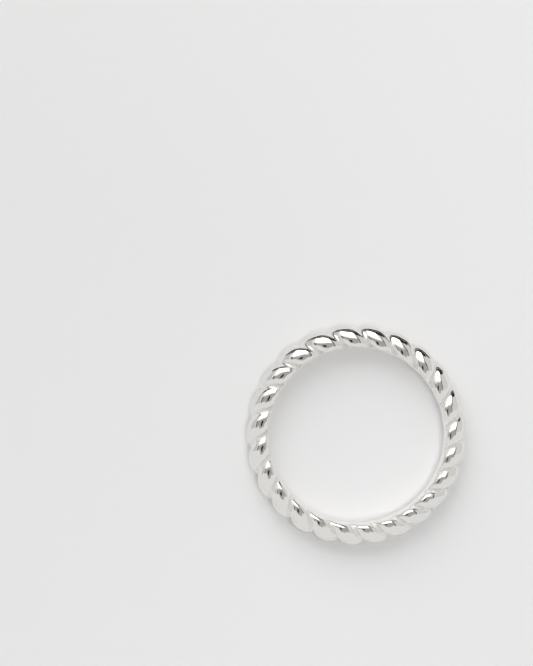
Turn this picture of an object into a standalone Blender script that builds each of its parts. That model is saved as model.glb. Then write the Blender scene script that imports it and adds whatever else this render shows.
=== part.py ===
"""A stackable finger ring: one cast silver band whose outer side is shaped as twisted strands.

Metres, +Z up. The ring lies on its side, its axis along Z and its lowest points at Z = 0.
"""

import math

import bpy

# Finger bore and band
bore_diameter = 17.3e-3
band_thickness = 2.19e-3
band_width = 2.75e-3
# From the bore to where the band is widest
shoulder_reach = 0.77e-3
# Powers of the section's curves: 2 is an ellipse, and more is squarer
dome_power = 1.87
shoulder_power = 3.4

# Twisted strands: how many go round, and the way along the section in which each one moves on by
# the width of one strand
strand_count = 24
strand_lead = 5.4e-3
groove_depth_outside = 0.41e-3
groove_depth_side = 0.35e-3
# Power of the curve across a strand's back: 2 is a parabola, and more is flatter on top
back_power = 2.65
# Share by which the strands at +X are longer than the mean, and the opposite ones shorter
strand_stretch = 0.075
# The grooves run out into the smooth shoulder over this way, measured from the widest place
run_out_start = 0.6e-3
run_out_end = 1.3e-3
# Share of half a strand that the rounded bottom of a groove takes
groove_softness = 0.2

# Facets
columns_per_strand = 8
rows_round_section = 24
steps_per_length = 96

silver_color = (0.93, 0.925, 0.915, 1.0)
silver_roughness = 0.06

bore_radius = bore_diameter / 2
half_width = band_width / 2
crest_radius = bore_radius + shoulder_reach
dome_reach = band_thickness - shoulder_reach
strand_angle = 2 * math.pi / strand_count


def power_of(value, power):
    """The value's size to a power, with the value's sign."""
    return math.copysign(abs(value) ** power, value)


def side_of(angle):
    """Reach and power of the section's outer dome or of its inner shoulder."""
    if math.cos(angle) >= 0:
        return dome_reach, dome_power
    return shoulder_reach, shoulder_power


def outline(angle):
    """Point of the smooth section, from the circle where the band is widest: outwards and up."""
    reach, power = side_of(angle)
    outwards = reach * power_of(math.cos(angle), 2 / power)
    up = half_width * power_of(math.sin(angle), 2 / power)
    return outwards, up


def outline_normal(angle):
    """Direction in which the smooth section faces: outwards and up."""
    reach, power = side_of(angle)
    outwards = power_of(math.cos(angle), 2 - 2 / power) / reach
    up = power_of(math.sin(angle), 2 - 2 / power) / half_width
    length = math.hypot(outwards, up)
    return outwards / length, up / length


def way_along(angle):
    """Way along the section from its outermost point to this angle, which is from 0 to half a turn."""
    points = [outline(angle * step / steps_per_length) for step in range(steps_per_length + 1)]
    return sum(math.dist(here, there) for here, there in zip(points, points[1:]))


way_to_crest = way_along(math.pi / 2)
way_to_bore = way_along(math.pi)
way_to_smooth = way_to_crest + run_out_end


def strand_turn(way):
    """How far round the ring a strand has moved on, after this way along the section."""
    if way <= way_to_smooth:
        return strand_angle * way / strand_lead
    left = (way_to_bore - way) / (way_to_bore - way_to_smooth)
    return strand_angle * way_to_smooth / strand_lead * left


def groove_depth(way):
    """Depth of the groove's bottom below the strands' backs, after this way along the section."""
    towards_crest = min(way / way_to_crest, 1.0)
    full = groove_depth_outside + (groove_depth_side - groove_depth_outside) * towards_crest
    run_out = (way - way_to_crest - run_out_start) / (run_out_end - run_out_start)
    run_out = min(max(run_out, 0.0), 1.0)
    return full * (1 - run_out * run_out * (3 - 2 * run_out))


def strand_fall(turn):
    """Share of the groove's depth by which the strand has fallen: 0 on its back, 1 in the groove."""
    across = abs(2 * ((turn / strand_angle + 0.5) % 1.0) - 1)
    rounded_from = 1 - groove_softness
    slope = back_power * rounded_from ** (back_power - 1)
    bottom = rounded_from**back_power + slope * groove_softness / 2
    if across <= rounded_from:
        return across**back_power / bottom
    past = across - rounded_from
    fall = rounded_from**back_power + slope * (past - past * past / (2 * groove_softness))
    return fall / bottom


def section_row(angle):
    """What every point in one row round the ring shares: its place, its facing and its twist."""
    folded = min(angle, 2 * math.pi - angle)
    way = way_along(folded)
    turn = math.copysign(strand_turn(way), angle - math.pi)
    return outline(angle), outline_normal(angle), groove_depth(way), turn


def place_point(turn, row):
    """Point of the twisted band, on the column that starts at this turn round an even ring."""
    (outwards, up), (face_out, face_up), depth, strand_shift = row
    fall = depth * strand_fall(turn)
    radius = crest_radius + outwards - fall * face_out
    here = turn + strand_stretch * math.sin(turn) + strand_shift
    return radius * math.cos(here), radius * math.sin(here), half_width + up - fall * face_up


def clear_scene():
    for old in list(bpy.data.objects):
        bpy.data.objects.remove(old, do_unlink=True)


def collection_named(name):
    group = bpy.data.collections.new(name)
    bpy.context.scene.collection.children.link(group)
    return group


def silver():
    material = bpy.data.materials.new("polished_silver")
    material.use_nodes = True
    shader = material.node_tree.nodes["Principled BSDF"]
    shader.inputs["Base Color"].default_value = silver_color
    shader.inputs["Metallic"].default_value = 1.0
    shader.inputs["Roughness"].default_value = silver_roughness
    return material


def twist_ring(group):
    """A torus whose points are moved onto the twisted band, with its columns along the strands."""
    bpy.ops.mesh.primitive_torus_add(
        major_segments=strand_count * columns_per_strand,
        minor_segments=rows_round_section,
        major_radius=crest_radius,
        minor_radius=half_width,
    )
    ring = bpy.context.object
    ring.name = "twist_ring"
    ring.data.name = "twist_ring"
    row_step = 2 * math.pi / rows_round_section
    rows = [section_row(row_step * index) for index in range(rows_round_section)]
    for point in ring.data.vertices:
        x, y, z = point.co
        angle = math.atan2(z, math.hypot(x, y) - crest_radius)
        index = round(angle / row_step) % rows_round_section
        point.co = place_point(math.atan2(y, x), rows[index])
    ring.data.shade_smooth()
    ring.data.materials.append(silver())
    for old_group in list(ring.users_collection):
        old_group.objects.unlink(ring)
    group.objects.link(ring)
    return ring


clear_scene()
twist_ring(collection_named("stackable_ring"))
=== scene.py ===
import functools
import math

import bpy
from mathutils import Matrix, Vector


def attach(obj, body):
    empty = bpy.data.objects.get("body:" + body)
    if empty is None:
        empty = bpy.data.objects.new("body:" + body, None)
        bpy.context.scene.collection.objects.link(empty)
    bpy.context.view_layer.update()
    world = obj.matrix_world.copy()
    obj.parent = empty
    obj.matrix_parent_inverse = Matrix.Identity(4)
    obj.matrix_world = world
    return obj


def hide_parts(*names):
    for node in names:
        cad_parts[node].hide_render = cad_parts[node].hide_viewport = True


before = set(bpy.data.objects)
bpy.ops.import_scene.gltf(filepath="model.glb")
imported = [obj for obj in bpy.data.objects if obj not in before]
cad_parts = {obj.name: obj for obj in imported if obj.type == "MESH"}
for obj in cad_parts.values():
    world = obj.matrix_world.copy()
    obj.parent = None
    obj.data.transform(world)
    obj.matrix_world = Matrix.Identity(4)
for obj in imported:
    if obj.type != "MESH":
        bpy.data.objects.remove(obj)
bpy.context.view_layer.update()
print("frame loaded")


def deselectAll():
    for item in list(bpy.context.selected_objects):
        item.select_set(False)


def newest(name):
    made = bpy.context.object  # what the last operator added
    made.name = name
    made.data.name = name
    return made


# The ring: one cast band whose outer side is shaped as twisted strands, lying on its side

band = {
    "boreDiameter": 17.3e-3,
    "thickness": 2.19e-3,
    "width": 2.75e-3,
    "shoulderReach": 0.77e-3,  # from the bore to where the band is widest
    "domePower": 1.87,  # powers of the section's curves: 2 is an ellipse, and more is squarer
    "shoulderPower": 3.4,
    "rows": 112,  # points round the section
    "waySteps": 96,
}

strand = {
    "count": 24,
    "lead": 5.4e-3,  # way along the section in which a strand moves on by its own width
    "stretch": 0.075,  # how much longer than the mean the strands are at +X, and shorter opposite
    "backPower": 2.65,  # power of the curve across a strand's back: 2 is a parabola
    "depthOutside": 0.41e-3,
    "depthSide": 0.35e-3,
    "runOutStart": 0.6e-3,  # past the widest place, where the grooves run out into the shoulder
    "runOutEnd": 1.3e-3,
    "softness": 0.2,  # share of half a strand that the rounded bottom of a groove takes
    "columns": 30,
    "mergeWithin": 0.01e-3,
    "residueAndShadeReach": 4,  # the residue and painted shade run out where a groove is less deep than one part in this many
}

boreRadius = band["boreDiameter"] / 2
halfWidth = band["width"] / 2
crestRadius = boreRadius + band["shoulderReach"]
domeReach = band["thickness"] - band["shoulderReach"]
strandAngle = 2 * math.pi / strand["count"]
deepest = max(strand["depthOutside"], strand["depthSide"])


def signedPower(value, power):
    return math.copysign(abs(value) ** power, value)


def sideOf(outwards):
    if outwards >= 0:
        return domeReach, band["domePower"]
    return band["shoulderReach"], band["shoulderPower"]


def outline(angle):
    reach, power = sideOf(math.cos(angle))
    outwards = reach * signedPower(math.cos(angle), 2 / power)
    return outwards, halfWidth * signedPower(math.sin(angle), 2 / power)


@functools.cache
def wayAlong(angle):
    steps = band["waySteps"]
    points = [outline(angle * step / steps) for step in range(steps + 1)]
    return sum(math.dist(here, there) for here, there in zip(points, points[1:]))


wayToCrest = wayAlong(math.pi / 2)
wayToBore = wayAlong(math.pi)
wayToSmooth = wayToCrest + strand["runOutEnd"]


def strandTurn(way):
    if way <= wayToSmooth:
        return strandAngle * way / strand["lead"]
    left = (wayToBore - way) / (wayToBore - wayToSmooth)
    return strandAngle * wayToSmooth / strand["lead"] * left


def grooveDepth(way):
    towardsCrest = min(way / wayToCrest, 1.0)
    full = strand["depthOutside"] + (strand["depthSide"] - strand["depthOutside"]) * towardsCrest
    past = (way - wayToCrest - strand["runOutStart"]) / (strand["runOutEnd"] - strand["runOutStart"])
    past = min(max(past, 0.0), 1.0)
    return full * (1 - past * past * (3 - 2 * past))


def strandFall(turn):
    # 0 on the strand's back, 1 in the groove
    across = abs(2 * ((turn / strandAngle + 0.5) % 1.0) - 1)
    soft, power = strand["softness"], strand["backPower"]
    straight = 1 - soft
    slope = power * straight ** (power - 1)
    bottom = straight ** power + slope * soft / 2
    if across <= straight:
        return across ** power / bottom
    over = across - straight
    return (straight ** power + slope * (over - over * over / (2 * soft))) / bottom


def numbersOn(ring, name):
    return [entry.value for entry in ring.data.attributes[name].data]


def keepOn(ring, name, numbers):
    ring.data.attributes.new(name, "FLOAT", "POINT").data.foreach_set("value", numbers)


def plainSector():
    # the smooth section, spun through the angle of one strand
    deselectAll()
    bpy.ops.mesh.primitive_circle_add(vertices=band["rows"], radius=halfWidth,
                                      location=(crestRadius, 0, halfWidth), rotation=(math.pi / 2, 0, 0))
    ring = newest("twistRing")
    bpy.ops.object.transform_apply(location=True, rotation=True, scale=True)
    angles = []
    for point in ring.data.vertices:
        angle = math.atan2(point.co.z - halfWidth, point.co.x - crestRadius)
        outwards, up = outline(angle)
        point.co = (crestRadius + outwards, 0, halfWidth + up)
        angles.append(angle)
    keepOn(ring, "sectionAngle", angles)
    bpy.ops.object.mode_set(mode="EDIT")
    bpy.ops.mesh.select_all(action="SELECT")
    bpy.ops.transform.rotate(value=strandAngle / 2, orient_axis="Z", center_override=(0, 0, 0))
    bpy.ops.mesh.spin(steps=strand["columns"], angle=strandAngle, center=(0, 0, 0), axis=(0, 0, 1))
    bpy.ops.mesh.select_all(action="SELECT")
    bpy.ops.mesh.normals_make_consistent(inside=False)
    bpy.ops.object.mode_set(mode="OBJECT")
    return ring


def sinkGrooves(ring):
    shares, residueAndShadeShares = [], []  # of the deepest groove, and of the residue and painted shade that lie in it
    for point, angle in zip(ring.data.vertices, numbersOn(ring, "sectionAngle")):
        depth = grooveDepth(wayAlong(abs(angle))) / deepest
        fall = strandFall(math.atan2(point.co.y, point.co.x))
        shares.append(depth * fall)
        # painted shade in the grooves, partly residue, fullest where a groove is deep
        residueAndShadeShares.append(min(depth * strand["residueAndShadeReach"], 1) * fall)
    keepOn(ring, "residueAndShade", residueAndShadeShares)  # the finish reads it
    grooves = ring.vertex_groups.new(name="groove")
    for index, share in enumerate(shares):
        grooves.add([index], share, "REPLACE")
    sink = ring.modifiers.new("sink", "DISPLACE")
    sink.vertex_group = grooves.name
    sink.mid_level = 0
    sink.strength = -deepest
    bpy.ops.object.modifier_apply(modifier=sink.name)
    ring.vertex_groups.clear()


def copyRound(ring):
    bpy.ops.object.mode_set(mode="EDIT")
    bpy.ops.mesh.select_all(action="SELECT")
    bpy.ops.mesh.spin(steps=strand["count"] - 1, angle=2 * math.pi - strandAngle, dupli=True,
                      center=(0, 0, 0), axis=(0, 0, 1))
    bpy.ops.mesh.select_all(action="SELECT")
    bpy.ops.mesh.remove_doubles(threshold=strand["mergeWithin"])
    bpy.ops.mesh.normals_make_consistent(inside=False)
    bpy.ops.object.mode_set(mode="OBJECT")


def twistStrands(ring):
    # a point turns about the ring's axis with its column, which the stretch moves, and with its row,
    # which goes on as far as the strands have turned on their way along the section
    for point, angle in zip(ring.data.vertices, numbersOn(ring, "sectionAngle")):
        column = math.atan2(point.co.y, point.co.x)
        strandShift = math.copysign(strandTurn(wayAlong(abs(angle))), angle)
        turn = strand["stretch"] * math.sin(column) - strandShift
        point.co.rotate(Matrix.Rotation(turn, 3, "Z"))
    ring.data.update()


twistRing = plainSector()
sinkGrooves(twistRing)
copyRound(twistRing)
twistStrands(twistRing)
bpy.ops.object.shade_smooth()
print("ring modelled,", len(twistRing.data.polygons), "faces")
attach(twistRing, "root")
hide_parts("twist_ring")


# Finishes

class Value:
    # one shader socket, so that maths on it reads as an expression
    def __init__(self, tree, socket):
        self.tree = tree
        self.socket = socket

    def maths(self, operation, *terms):
        made = self.tree.nodes.new("ShaderNodeMath")
        made.operation = operation
        for place, term in enumerate(terms):
            feed(self.tree, made.inputs[place], term)
        return Value(self.tree, made.outputs[0])

    def __add__(self, other):
        return self.maths("ADD", self, other)

    def __rsub__(self, other):
        return self.maths("SUBTRACT", other, self)

    def __mul__(self, other):
        return self.maths("MULTIPLY", self, other)

    __radd__ = __add__


def feed(tree, socket, term):
    if isinstance(term, Value):
        tree.links.new(term.socket, socket)
    else:
        socket.default_value = term


class Finish:
    def __init__(self, name):
        self.material = bpy.data.materials.new(name)
        self.material.use_nodes = True
        self.tree = self.material.node_tree
        self.shader = self.tree.nodes["Principled BSDF"]

    def node(self, kind, settings=None, sockets=None, output=0):
        made = self.tree.nodes.new(kind)
        for key, setting in (settings or {}).items():
            setattr(made, key, setting)
        for key, term in (sockets or {}).items():
            feed(self.tree, made.inputs[key], term)
        return Value(self.tree, made.outputs[output])

    def set(self, **terms):
        for key, term in terms.items():
            feed(self.tree, self.shader.inputs[key.replace("_", " ")], term)

    def ramp(self, value, low, high):
        # 0 below low, 1 above high, smooth between them
        return self.node("ShaderNodeMapRange", {"interpolation_type": "SMOOTHSTEP"},
                         {"Value": value, "From Min": low, "From Max": high})

    def mix(self, share, low, high):
        # the node has its sockets once for each kind of value: 6, 7 and 2 are those for colours
        return self.node("ShaderNodeMix", {"data_type": "RGBA"},
                         {"Factor": share, 6: low, 7: high}, output=2)

    def noise(self, scale, detail, **sockets):
        return self.node("ShaderNodeTexNoise", {}, {"Scale": scale, "Detail": detail, **sockets})


silver = {
    "clean": (0.862, 0.857, 0.829, 1),
    "polishedLighterBore": (0.955, 0.95, 0.932, 1),  # in the bore: polished, and painted lighter than the outer side so that its wall throws more light onto the floor inside the ring
    "residueAndShade": (0.76, 0.74, 0.70, 1),  # painted shade in the grooves, with residue where a cloth doesn't reach
    "residueAndShadeFrom": 0.5,  # how far down a groove it starts, and where it is full
    "residueAndShadeFull": 0.9,
    "residueAndShadeOutside": 0.2,  # share of it that is left on the band's outer side
    "outsideTo": 0.9,  # section angles between which it grows from that share to the whole
    "insideFrom": 1.5,
    "residueAndShadeLeast": 0.6,  # its unevenness: the least of it, and what the smudges add
    "residueAndShadeSmudged": 0.8,
    "residueAndShadeMetal": 0.8,  # what the residue and painted shade take from the metal's shine
    "roughness": 0.016,
    "residueAndShadeRoughness": 0.35,
    "smudgeScale": 420,
    "smudgeDetail": 4,
    "smudgeFrom": 0.5,
    "smudgeFull": 0.75,
    "smudgeRoughness": 0.02,
    "boreFrom": 2.3,  # section angle past which the wall counts as the bore
    "boreRoughness": 0.02,
    "waveScale": 620,  # waves left by the hand polish, in a metre
    "waveDetail": 1,
    "waveHeight": 9e-6,
    "lineScale": 9000,  # lines round the bore, left by the polishing stick
    "lineDetail": 2,
    "lineHeight": 5e-7,
    "scratchScale": 2600,
    "scratchDetail": 3,
    "scratchStretch": 9,  # how much longer they are round the ring than across it
    "scratchHeight": 4e-7,
}


def polishedSilver():
    finish = Finish("polishedSilver")
    place = finish.node("ShaderNodeTexCoord", output="Object")
    height = finish.node("ShaderNodeSeparateXYZ", {}, {"Vector": place}, output="Z")
    inGroove = finish.node("ShaderNodeAttribute", {"attribute_name": "residueAndShade"}, output="Fac")
    angle = finish.node("ShaderNodeAttribute", {"attribute_name": "sectionAngle"}, output="Fac")
    aside = angle.maths("ABSOLUTE", angle)
    bore = finish.ramp(aside, silver["boreFrom"], math.pi)
    inside = finish.ramp(aside, silver["outsideTo"], silver["insideFrom"])
    filled = silver["residueAndShadeOutside"] + inside * (1 - silver["residueAndShadeOutside"])

    smudge = finish.noise(silver["smudgeScale"], silver["smudgeDetail"], Vector=place)
    waves = finish.noise(silver["waveScale"], silver["waveDetail"], Vector=place)
    lines = finish.node("ShaderNodeTexNoise", {"noise_dimensions": "1D"},
                        {"W": height, "Scale": silver["lineScale"], "Detail": silver["lineDetail"]})
    scratched = finish.node("ShaderNodeMapping", {},
                            {"Vector": place, "Scale": (1, 1, silver["scratchStretch"])})
    scratches = finish.noise(silver["scratchScale"], silver["scratchDetail"], Vector=scratched)

    uneven = silver["residueAndShadeLeast"] + smudge * silver["residueAndShadeSmudged"]
    # painted shade deep in the grooves, partly residue: darker, duller, less shiny metal there
    residueAndShade = finish.ramp(inGroove, silver["residueAndShadeFrom"], silver["residueAndShadeFull"]) * filled * uneven
    # the bore is painted lighter than the outer side, for more light thrown onto the floor inside the
    # ring
    metal = finish.mix(bore, silver["clean"], silver["polishedLighterBore"])
    finish.set(
        Base_Color=finish.mix(residueAndShade, metal, silver["residueAndShade"]),
        Metallic=1 - residueAndShade * silver["residueAndShadeMetal"],
        Roughness=silver["roughness"] + residueAndShade * silver["residueAndShadeRoughness"] + bore * silver["boreRoughness"]
        + finish.ramp(smudge, silver["smudgeFrom"], silver["smudgeFull"]) * silver["smudgeRoughness"],
        Normal=finish.node("ShaderNodeBump", {}, {
            "Strength": 1, "Distance": 1,
            "Height": waves * silver["waveHeight"] + lines * bore * silver["lineHeight"]
            + scratches * silver["scratchHeight"]}),
    )
    return finish.material


twistRing.data.materials.append(polishedSilver())
print("silver finished")


# Camera and studio

picture = {
    "width": 533,
    "height": 666,
    "ringAt": (356.4, 435.4),
    "pixelsPerMetre": 10140.0,
    "lean": 6.5,  # degrees from the ring's axis to the camera
    "leanTowards": 319.0,  # compass direction of it, where the top of the picture is north
    "longestAt": 320.0,  # compass direction of the ring's +X in the picture
    "distance": 0.3,
    "clipStart": 0.01,
    "sensor": 36.0,
}


def compass(bearing):
    # a level direction, where +X of the ring lies at longestAt
    turn = math.radians(picture["longestAt"] - bearing)
    return Vector((math.cos(turn), math.sin(turn), 0))


ringCentre = Vector((0, 0, halfWidth))
lean = math.radians(picture["lean"])
towards = compass(picture["leanTowards"]) * math.sin(lean) + Vector((0, 0, math.cos(lean)))
right = compass(0).cross(towards).normalized()
viewAxes = Matrix((right, towards.cross(right), towards)).transposed()


def addCamera():
    focal = picture["pixelsPerMetre"] * picture["distance"]  # in pixels
    centre = (picture["width"] / 2, picture["height"] / 2)
    offset = Vector((picture["ringAt"][0] - centre[0], centre[1] - picture["ringAt"][1], -focal))
    aim = offset.rotation_difference(Vector((0, 0, -1))).to_matrix()
    deselectAll()
    bpy.ops.object.camera_add()
    camera = newest("photoCamera")
    camera.data.sensor_width = picture["sensor"]
    camera.data.lens = picture["sensor"] * focal / max(picture["width"], picture["height"])
    placed = (viewAxes @ aim).to_4x4()
    placed.translation = ringCentre + towards * picture["distance"]
    camera.matrix_world = placed
    camera.data.clip_start = picture["clipStart"]
    bpy.context.scene.camera = camera


# Cards round the ring. Corners are in degrees from the view's axis, to the right and up, and run
# round the card; each has a tone, where 1 is white, and a distance in metres
cards = {
    "softPanel": (((-40, 24), (18, 24), (11, 66), (-35, 66)), 2.7, 0.60),
    "panelRim": (((-50, 17), (22, 17), (14, 66), (-43, 66)), 0.88, 0.74),
    "greyBand": (((-40, -7), (33, -10), (33, 15), (-40, 13)), 0.40, 0.56),
    "greyBelow": (((-12, -25), (11, -25), (19, -8), (-22, -7)), 0.42, 0.55),
    "westEdge": (((-47, -9), (-39, -9), (-38, 16), (-49, 18)), 0.12, 0.57),
    "eastBand": (((23, 15), (36, 15), (31, 56), (22, 56)), 0.34, 0.59),
    "eastEdge": (((28, -11), (37, -11), (36, 28), (27, 28)), 0.12, 0.57),
    "eastBlack": (((20, 56), (49, 53), (58, 88), (14, 92)), 0.015, 0.57),
    "eastGrey": (((49, 56), (62, 62), (66, 88), (56, 90)), 0.20, 0.58),
    "northBlack": (((-44, 60), (22, 60), (22, 92), (-52, 92)), 0.015, 0.86),
    "westBlack": (((-64, 52), (-42, 60), (-44, 92), (-76, 70)), 0.015, 0.57),
    "westWall": (((-112, -4), (-52, -4), (-52, 54), (-100, 60)), 0.57, 0.75),
    "eastWall": (((39, -4), (112, -4), (104, 60), (36, 56)), 0.68, 0.75),
}

# The dark round the lens, as the silver shows it
dot = {
    "at": (-3.5, -6),
    "size": (7.5, 10),  # half of it, in degrees
    "distance": 0.2,
    "tone": 0.02,
}

warmth = {
    "below": 0.5,  # cards darker than this are a little brown
    "amount": 0.016,
}


def aimed(across, up):
    # direction that lies this many degrees off the view's axis
    off = math.radians(math.hypot(across, up))
    bearing = math.atan2(across, up)
    level = Vector((math.sin(bearing), math.cos(bearing), 0))
    return viewAxes @ (level * math.sin(off) + Vector((0, 0, math.cos(off))))


def glow(tone):
    made = bpy.data.materials.new("card%03d" % round(tone * 100))
    made.use_nodes = True
    tree = made.node_tree
    tree.nodes.clear()
    light = tree.nodes.new("ShaderNodeEmission")
    warm = warmth["amount"] if tone < warmth["below"] else 0
    light.inputs["Color"].default_value = (tone + warm, tone - warm * tone, tone - 2 * warm * tone, 1)
    output = tree.nodes.new("ShaderNodeOutputMaterial")
    tree.links.new(light.outputs[0], output.inputs["Surface"])
    return made


def stand(made, tone):
    made.data.materials.append(glow(tone))
    made.visible_camera = False


def addCards():
    for name, (corners, tone, distance) in cards.items():
        deselectAll()
        bpy.ops.mesh.primitive_plane_add(size=1)
        card = newest(name)
        # the plane's points run left to right, then up
        for point, corner in zip(card.data.vertices, (corners[0], corners[1], corners[3], corners[2])):
            point.co = ringCentre + aimed(*corner) * distance
        stand(card, tone)
    deselectAll()
    bpy.ops.mesh.primitive_circle_add(radius=1, fill_type="NGON")
    spot = newest("cameraDot")
    for point in spot.data.vertices:
        offset = [at + size * side for at, size, side in zip(dot["at"], dot["size"], point.co)]
        point.co = ringCentre + aimed(*offset) * dot["distance"]
    stand(spot, dot["tone"])


darkReflectionSheet = {
    "bearing": -1,  # compass direction of its middle, and half of its span in degrees
    "halfSpan": 50,
    "inner": 0.018,  # from the ring's axis to its edges
    "outer": 0.07,
    "lift": 5e-5,
    "pieces": 24,
    "tone": 0.012,
}


def addDarkReflectionSheet():
    # a dark sheet on the floor, which shows only in the silver: a painted dark reflection along the
    # strands' outer edges, where the floor itself is pale
    deselectAll()
    bpy.ops.mesh.primitive_grid_add(x_subdivisions=darkReflectionSheet["pieces"], y_subdivisions=1, size=1)
    sheet = newest("northDarkReflection")
    for point in sheet.data.vertices:
        level = compass(darkReflectionSheet["bearing"] + 2 * darkReflectionSheet["halfSpan"] * point.co.x)
        reach = darkReflectionSheet["inner"] + (darkReflectionSheet["outer"] - darkReflectionSheet["inner"]) * (point.co.y + 0.5)
        point.co = level * reach + Vector((0, 0, darkReflectionSheet["lift"]))
    stand(sheet, darkReflectionSheet["tone"])
    sheet.visible_diffuse = False
    sheet.visible_shadow = False


floor = {
    "size": 4.0,
    "tone": 0.925,
}


def addFloor():
    deselectAll()
    bpy.ops.mesh.primitive_plane_add(size=floor["size"])
    sheet = newest("paleFloor")
    paper = Finish("palePaper")
    tone = floor["tone"]
    paper.set(Base_Color=(tone, tone, tone, 1), Roughness=1)
    paper.shader.inputs["Specular IOR Level"].default_value = 0
    sheet.data.materials.append(paper.material)


tent = {
    "inSilver": 0.80,
    "onFloor": 0.41,
    "toCamera": 0.81,
}


def background(tree, tone):
    made = tree.nodes.new("ShaderNodeBackground")
    made.inputs["Color"].default_value = (tone, tone, tone, 1)
    return made.outputs[0]


def addTent():
    # the silver shows the tent, which gives the floor less light than the panel and the fill do
    world = bpy.data.worlds.new("paleTent")
    bpy.context.scene.world = world
    world.use_nodes = True
    tree = world.node_tree
    tree.nodes.clear()
    seen = tree.nodes.new("ShaderNodeLightPath")
    shade = background(tree, tent["inSilver"])
    for ray, tone in (("Is Diffuse Ray", tent["onFloor"]), ("Is Camera Ray", tent["toCamera"])):
        mix = tree.nodes.new("ShaderNodeMixShader")
        tree.links.new(seen.outputs[ray], mix.inputs["Fac"])
        tree.links.new(shade, mix.inputs[1])
        tree.links.new(background(tree, tone), mix.inputs[2])
        shade = mix.outputs[0]
    output = tree.nodes.new("ShaderNodeOutputWorld")
    tree.links.new(shade, output.inputs["Surface"])


fill = {
    "height": 0.45,
    "size": 0.24,
    "power": 0.92,
}


def addFill():
    # overhead, for the floor: the silver shows the tent there
    deselectAll()
    bpy.ops.object.light_add(type="AREA", location=(0, 0, fill["height"]))
    lamp = newest("overheadFill")
    lamp.data.shape = "DISK"
    lamp.data.size = fill["size"]
    lamp.data.energy = fill["power"]
    lamp.visible_glossy = False


addCamera()
addCards()
addDarkReflectionSheet()
addFloor()
addTent()
addFill()
bpy.context.scene.view_settings.view_transform = "Standard"
print("studio lit")
